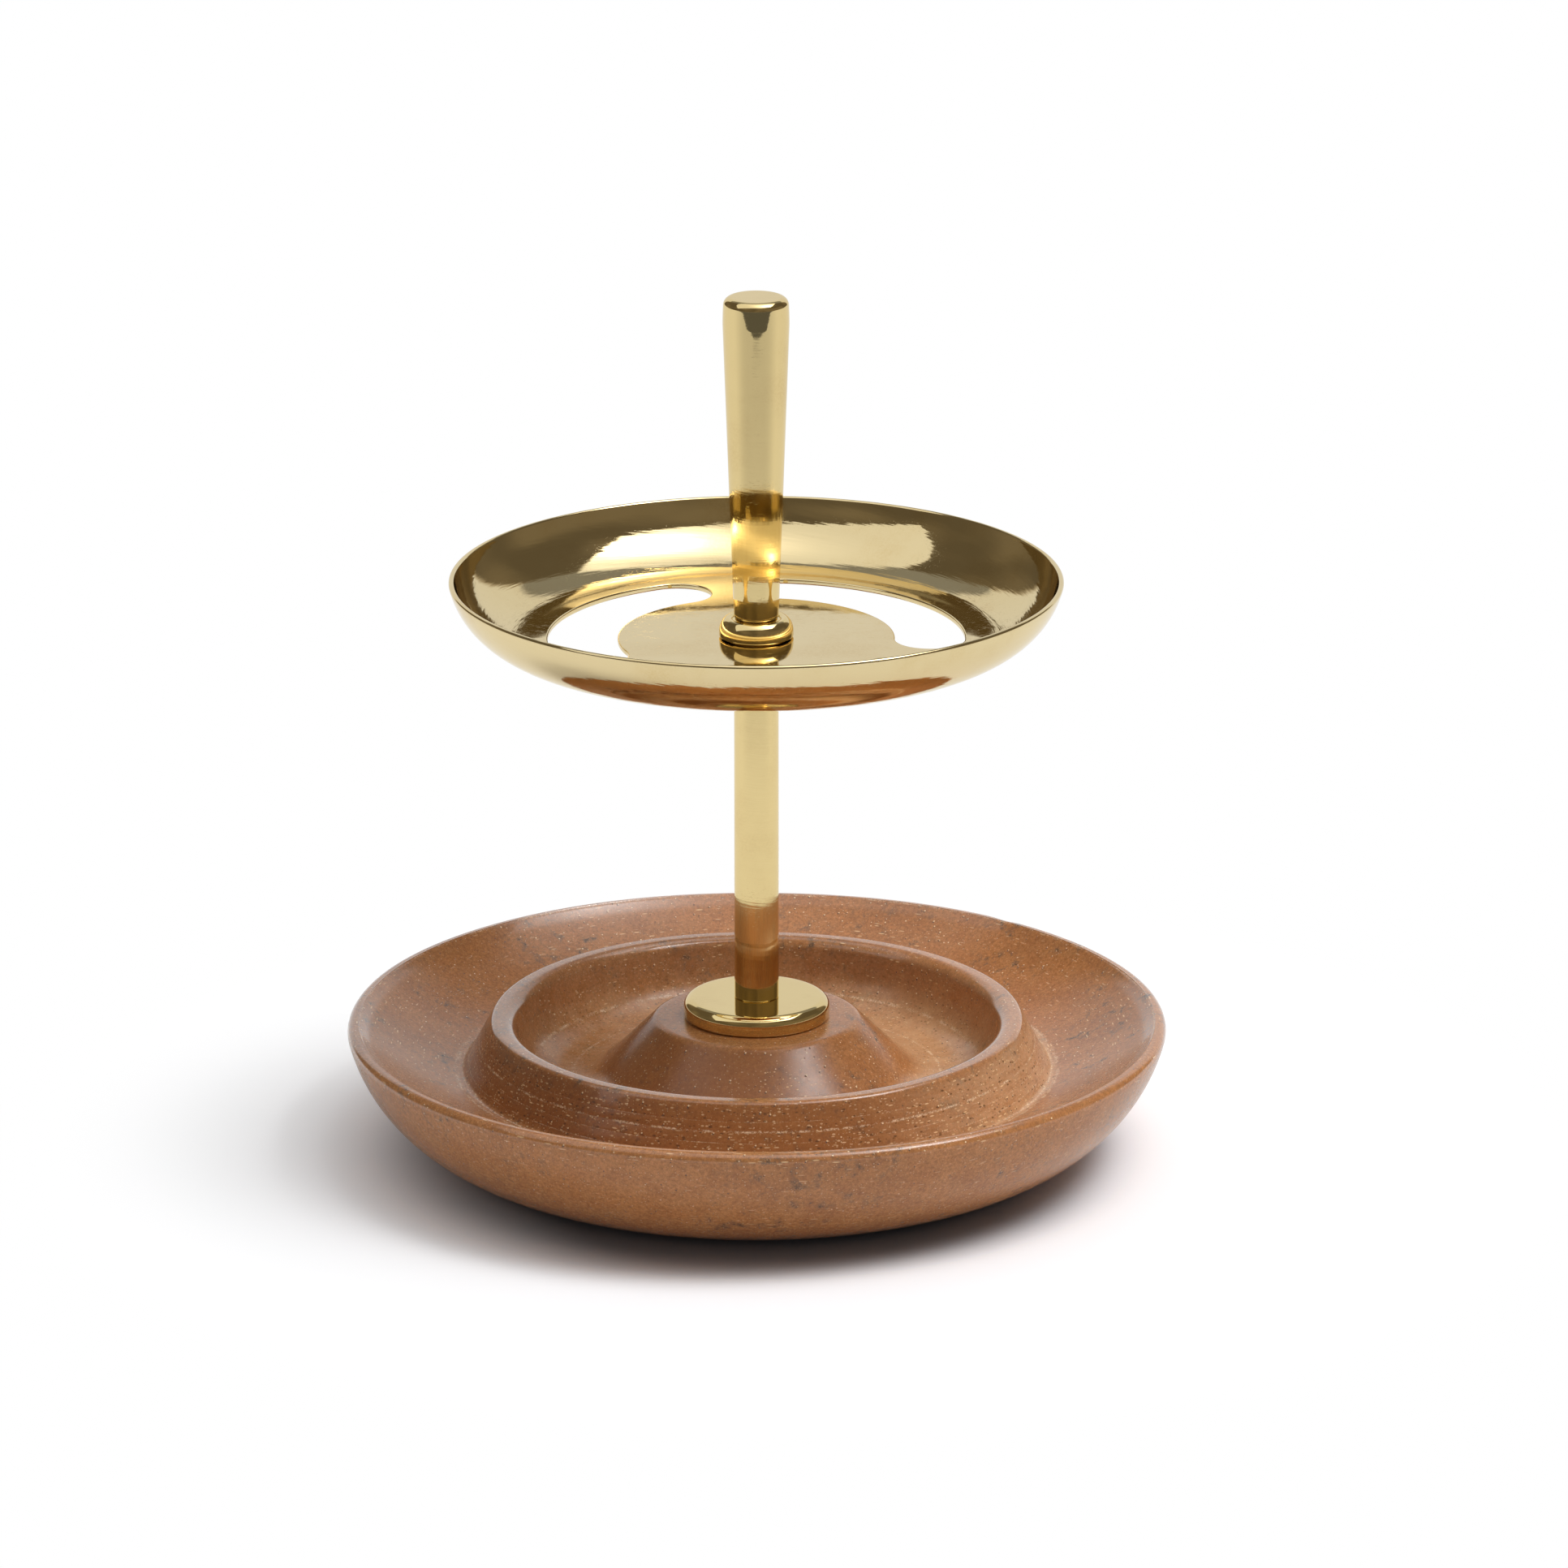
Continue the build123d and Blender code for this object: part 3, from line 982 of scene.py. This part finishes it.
def make_collar(material):
    """Rounded ring with its crest clear of the handle, and a fine shadow gap under its edge."""
    radius = width("collar") / 2
    height = collar_top_z - collar_z
    shoulder_centre = (collar_crest_radius, collar_z + collar_foot_height)
    shoulder_radii = (radius - collar_crest_radius, height - collar_foot_height)
    shoulder = sweep(shoulder_centre, shoulder_radii, 0, 90, 28)
    dip_z = collar_top_z - collar_dip
    dip_radius = (collar_crest_radius + collar_seat_radius) / 2
    dip_radii = (collar_crest_radius - dip_radius, collar_dip)
    inner_side = sweep((collar_crest_radius, dip_z), dip_radii, 90, 180, 16)
    seat_edge = (collar_seat_radius, collar_top_z)
    bore_top, bore_foot = (stud_bore_radius, collar_top_z), (stud_bore_radius, collar_z)
    foot_edge = (radius - collar_gap_depth, collar_z)
    gap_top = (radius - collar_gap_depth, collar_z + collar_gap)
    low_edge = (radius, collar_z + collar_gap)
    section = closed_section(
        (0, line(bore_foot, foot_edge)),
        (0, line(foot_edge, gap_top)),
        (0, line(gap_top, low_edge)),
        (collar_foot_round, line(low_edge, shoulder[0])),
        (0, shoulder),
        (0, inner_side),
        (0, line(inner_side[-1], seat_edge)),
        (0, line(seat_edge, bore_top)),
        (0, line(bore_top, bore_foot)),
    )
    stand_for(turn("brass_collar", section, brass_segments), "collar", material)


# Brass handle

def make_handle(material):
    """Tapered grip with an eased top, drilled from below for the stud.

    The easing arc starts upright, so it ends four times its sagitta further in."""
    drill_z = handle_z + drill_depth
    tip = (0, drill_z + stud_radius / tan(radians(drill_point_angle / 2)))
    bore_foot, bore_top = (stud_radius, handle_z), (stud_radius, drill_z)
    low_edge, high_edge = (handle_bottom_radius, handle_z), (handle_top_radius, handle_top_z)
    crown = (0, handle_top_z)
    ease_start = Vector(high_edge) - Vector((0, handle_ease_length))
    eased_edge = Vector(high_edge) - Vector((4 * handle_ease, 0))
    section = closed_section(
        (0, line(bore_foot, low_edge)),
        (handle_bottom_round, line(low_edge, ease_start, 40)),
        (0, bow(ease_start, eased_edge, handle_ease, 16)),
        (handle_top_round, line(eased_edge, crown, 6)),
        (0, line(crown, tip)),
        (0, line(tip, bore_top)),
        (0, line(bore_top, bore_foot)),
    )
    stand_for(turn("brass_handle", section, brass_segments), "handle", material)


# Studio

floor_half = 4.0
floor_white_from = 0.066
floor_white_to = 0.155
floor_white_left = 0.014
mirrored_white_from = 0.09
mirrored_white_to = 0.30
floor_dim_from = 0.12
floor_dim_to = 0.42
floor_dim_front, floor_dim_aside = 0.66, 0.90
# Painted shadow on the table top around the stand: where it fades out, and its colour in front and at the
# sides
painted_shadow_from = 0.060
painted_shadow_to = 0.076
painted_shadow_front = colour(0.34, 0.38, 0.43)
painted_shadow_aside = colour(0.74, 0.78, 0.84)
table_edge = 0.462
table_edge_middle = 0.10
table_edge_half = 0.17
table_edge_splay = 0.35
table_edge_level = 0.12
table_edge_fade = 0.01
paper_far = colour(1.08, 1.09, 1.12)
paper_in_light = colour(0.90, 0.90, 0.90)


def floor_paper(tree, distance, ahead, camera):
    """Colour of the table top: a painted shadow close around the stand, darkest in front of it."""
    painted_shadow = blend(tree, step_up(tree, ahead, 0.2, 0.9), painted_shadow_aside, painted_shadow_front)
    paper = blend(tree, step_up(tree, distance, painted_shadow_from, painted_shadow_to), painted_shadow, paper_far)
    return blend(tree, camera, paper_in_light, paper)


def mirrored_paper(tree, axes, distance, ahead):
    """Level of the table top in the brass: dimmer with distance, and dark beyond its front edge."""
    dim = step_up(tree, ahead, 0.1, 0.9, floor_dim_aside, floor_dim_front)
    dim = fade_to(tree, step_up(tree, distance, floor_dim_from, floor_dim_to), 1.0, dim)
    aside = sums(tree, "ABSOLUTE", sums(tree, "SUBTRACT", axes["X"], table_edge_middle))
    splay = sums(tree, "MAXIMUM", sums(tree, "SUBTRACT", aside, table_edge_half), 0.0)
    edge = sums(tree, "MULTIPLY_ADD", splay, table_edge_splay, table_edge)
    beyond = sums(tree, "SUBTRACT", times(tree, axes["Y"], -1.0), edge)
    return fade_to(tree, step_up(tree, beyond, 0.0, table_edge_fade), dim, table_edge_level)


def make_floor():
    """White table top that keeps the shadow near the stand, deepened there by a painted shadow, and fades to
    even white further out.
    """
    mesh = bpy.data.meshes.new("floor")
    corners = [(x * floor_half, y * floor_half, 0) for x, y in ((-1, -1), (1, -1), (1, 1), (-1, 1))]
    mesh.from_pydata(corners, [], [(0, 1, 2, 3)])
    material, tree, shader, place = new_material("floor_white")
    place = vector_sums(tree, "SCALE", place, scale=MM)
    axes = node(tree, "SeparateXYZ", Vector=place).outputs
    distance = vector_sums(tree, "LENGTH", place, out="Value")
    ahead = sums(tree, "DIVIDE", times(tree, axes["Y"], -1.0), distance)
    leftward = sums(tree, "DIVIDE", times(tree, axes["X"], -1.0), distance)
    path = node(tree, "LightPath").outputs
    camera, glossy = path["Is Camera Ray"], path["Is Glossy Ray"]
    feed(tree, shader.inputs["Base Color"], floor_paper(tree, distance, ahead, camera))
    shader.inputs["Roughness"].default_value = 0.9
    shader.inputs["Specular IOR Level"].default_value = 0.1
    nearer = step_up(tree, leftward, 0.0, 0.8, 0.0, floor_white_left)
    far = step_up(tree, sums(tree, "ADD", distance, nearer), floor_white_from, floor_white_to)
    mirrored_far = step_up(tree, distance, mirrored_white_from, mirrored_white_to)
    seen = sums(tree, "MULTIPLY_ADD", glossy, mirrored_far, times(tree, camera, far))
    level = fade_to(tree, glossy, 1.0, mirrored_paper(tree, axes, distance, ahead))
    white = node(tree, "Emission", Strength=level).outputs[0]
    mix = node(tree, "MixShader")
    for socket, value in zip(mix.inputs, (seen, shader.outputs[0], white)):
        feed(tree, socket, value)
    feed(tree, tree.nodes["Material Output"].inputs["Surface"], mix.outputs[0])
    mesh.materials.append(material)
    add_object("floor", mesh)


# The room, which both lights the stand and is mirrored in its brass.
# Directions above the desk are given as they cross a level plane one unit up.
# Each side of the soft box limits a sum of shares of the way right and the way back.
soft_box_sides = (
    (1.0, 0.36, 0.77),
    (0.6, -0.8, 0.83),
    (0.0, -1.0, 0.80),
    (-1.0, 1.29, 1.13),
    (0.0, 1.0, 0.70),
)
soft_box_edge = 0.012
soft_box_level = 0.95
fill_front, fill_back = 0.18, 0.80
fill_from, fill_to = -0.8, 0.5
lamp_at = (0.53, -0.08)
halo_radius = 0.45
halo_level = 2.7
lamp_radius = 0.18
lamp_level = 8.0
key_at = (0.58, -0.06)
key_radius = 0.26
key_level = 17.0
backdrop_top = 33.0
backdrop_fade = 1.2
backdrop_level = 0.84
front_left, front_right = -147.0, 141.0
front_fade = 2.5
front_bottom = -2.0
front_bottom_fade = 2.0
front_level = 0.17
front_unevenness = 0.25
front_tint = colour(1.0, 0.82, 0.57)
room_level = 0.28
room_fill = 0.22
lowest_height = 0.05

camera_place = (0.0050, -1.5710, 0.5632)
camera_pitch = 17.47
camera_lens = 208.4
camera_sensor = 36.0


def glow(tree, crossing, middle, radius, peak):
    """Level of a soft round light about a crossing of the plane."""
    off = vector_sums(tree, "DISTANCE", crossing, (middle[0], middle[1], 0), out="Value")
    spread = sums(tree, "POWER", sums(tree, "DIVIDE", off, radius), 2.0)
    return times(tree, sums(tree, "POWER", exp(-1), spread), peak)


def soft_box(tree, right, back, crossing):
    """Share and level of the soft box overhead, which is brightest towards its right side."""
    share = 1.0
    for right_share, back_share, limit in soft_box_sides:
        reach = sums(tree, "MULTIPLY_ADD", right, right_share, times(tree, back, back_share))
        within = step_up(tree, reach, limit - soft_box_edge, limit + soft_box_edge, 1.0, 0.0)
        share = times(tree, within, share)
    halo = glow(tree, crossing, lamp_at, halo_radius, halo_level)
    lamp = glow(tree, crossing, lamp_at, lamp_radius, lamp_level)
    return share, sums(tree, "ADD", sums(tree, "ADD", halo, lamp), soft_box_level)


def make_world():
    """The room as the brass mirrors it, and the softer light that it sheds, mostly from the right."""
    world = bpy.data.worlds.new("studio")
    bpy.context.scene.world = world
    world.use_nodes = True
    tree = world.node_tree
    direction = node(tree, "TexCoord").outputs["Generated"]
    axes = node(tree, "SeparateXYZ", Vector=direction).outputs
    bearing = sums(tree, "ARCTAN2", axes["X"], times(tree, axes["Y"], -1.0))
    front = inside(tree, bearing, radians(front_left), radians(front_right), radians(front_fade))
    above = step_up(tree, axes["Z"], sin(radians(front_bottom - front_bottom_fade)),
                    sin(radians(front_bottom + front_bottom_fade)))
    low = step_up(tree, axes["Z"], sin(radians(backdrop_top - backdrop_fade)),
                  sin(radians(backdrop_top + backdrop_fade)), 1.0, 0.0)
    level = fade_to(tree, low, room_level, backdrop_level)
    front = times(tree, front, above)
    dimmer, brighter = front_level * (1 - front_unevenness), front_level * (1 + front_unevenness)
    clutter = step_up(tree, noise(tree, direction, 1.6, 1.0), 0.35, 0.7, dimmer, brighter)
    path = node(tree, "LightPath").outputs
    camera, mirrored = path["Is Camera Ray"], path["Is Glossy Ray"]
    level = fade_to(tree, front, level, fade_to(tree, mirrored, room_fill, clutter))
    height = sums(tree, "MAXIMUM", axes["Z"], lowest_height)
    right = sums(tree, "DIVIDE", axes["X"], height)
    back = sums(tree, "DIVIDE", axes["Y"], height)
    crossing = node(tree, "CombineXYZ", X=right, Y=back).outputs[0]
    share, bright = soft_box(tree, right, back, crossing)
    fill = step_up(tree, back, fill_from, fill_to, fill_front, fill_back)
    level = fade_to(tree, share, level, fade_to(tree, mirrored, fill, bright))
    key = glow(tree, crossing, key_at, key_radius, key_level)
    level = sums(tree, "ADD", level, fade_to(tree, mirrored, key, 0.0))
    warm = sums(tree, "SUBTRACT", times(tree, front, mirrored), share, clamp=True)
    tint = blend(tree, warm, colour(1.0, 1.0, 1.0), front_tint)
    feed(tree, tree.nodes["Background"].inputs["Strength"], fade_to(tree, camera, level, 1.0))
    feed(tree, tree.nodes["Background"].inputs["Color"], tint)


def make_camera():
    """The photograph's view: a long lens, looking down on the stand from in front."""
    camera = bpy.data.cameras.new("camera")
    camera.sensor_width = camera_sensor
    camera.lens = camera_lens
    holder = add_object("camera", camera)
    holder.location = camera_place
    holder.rotation_euler = (radians(90 - camera_pitch), 0, 0)
    bpy.context.scene.camera = holder


def main():
    """The stand's finishes, then its pieces from the desk up, then the studio."""
    polish = hand_polish_group()
    spun = brass("spun_brass", polish, sheet_brass, "radius",
                 waves=0.03, rings=0.08, hairlines=0.002, calm_radius=40.0)
    turned = brass("turned_brass", polish, bar_brass, "height",
                   waves=0.008, rings=0.007, hairlines=0.001)
    faced = brass("faced_brass", polish, bar_brass, "radius",
                  waves=0.012, rings=0.003, hairlines=0.0005)
    plated = steel("plated_steel", polish)
    make_stone_base(brown_stone())
    make_felt_pad(felt_cloth())
    make_foot_flange(faced)
    make_lower_post(turned)
    make_dish(spun)
    make_collar(faced)
    make_handle(turned)
    for name in ("tie_stud", "clamp_washer", "lock_washer", "stud_nut"):
        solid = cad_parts[name]
        solid.data.materials.clear()
        solid.data.materials.append(plated)
    make_floor()
    make_world()
    make_camera()
    bpy.context.scene.view_settings.view_transform = "Standard"


main()
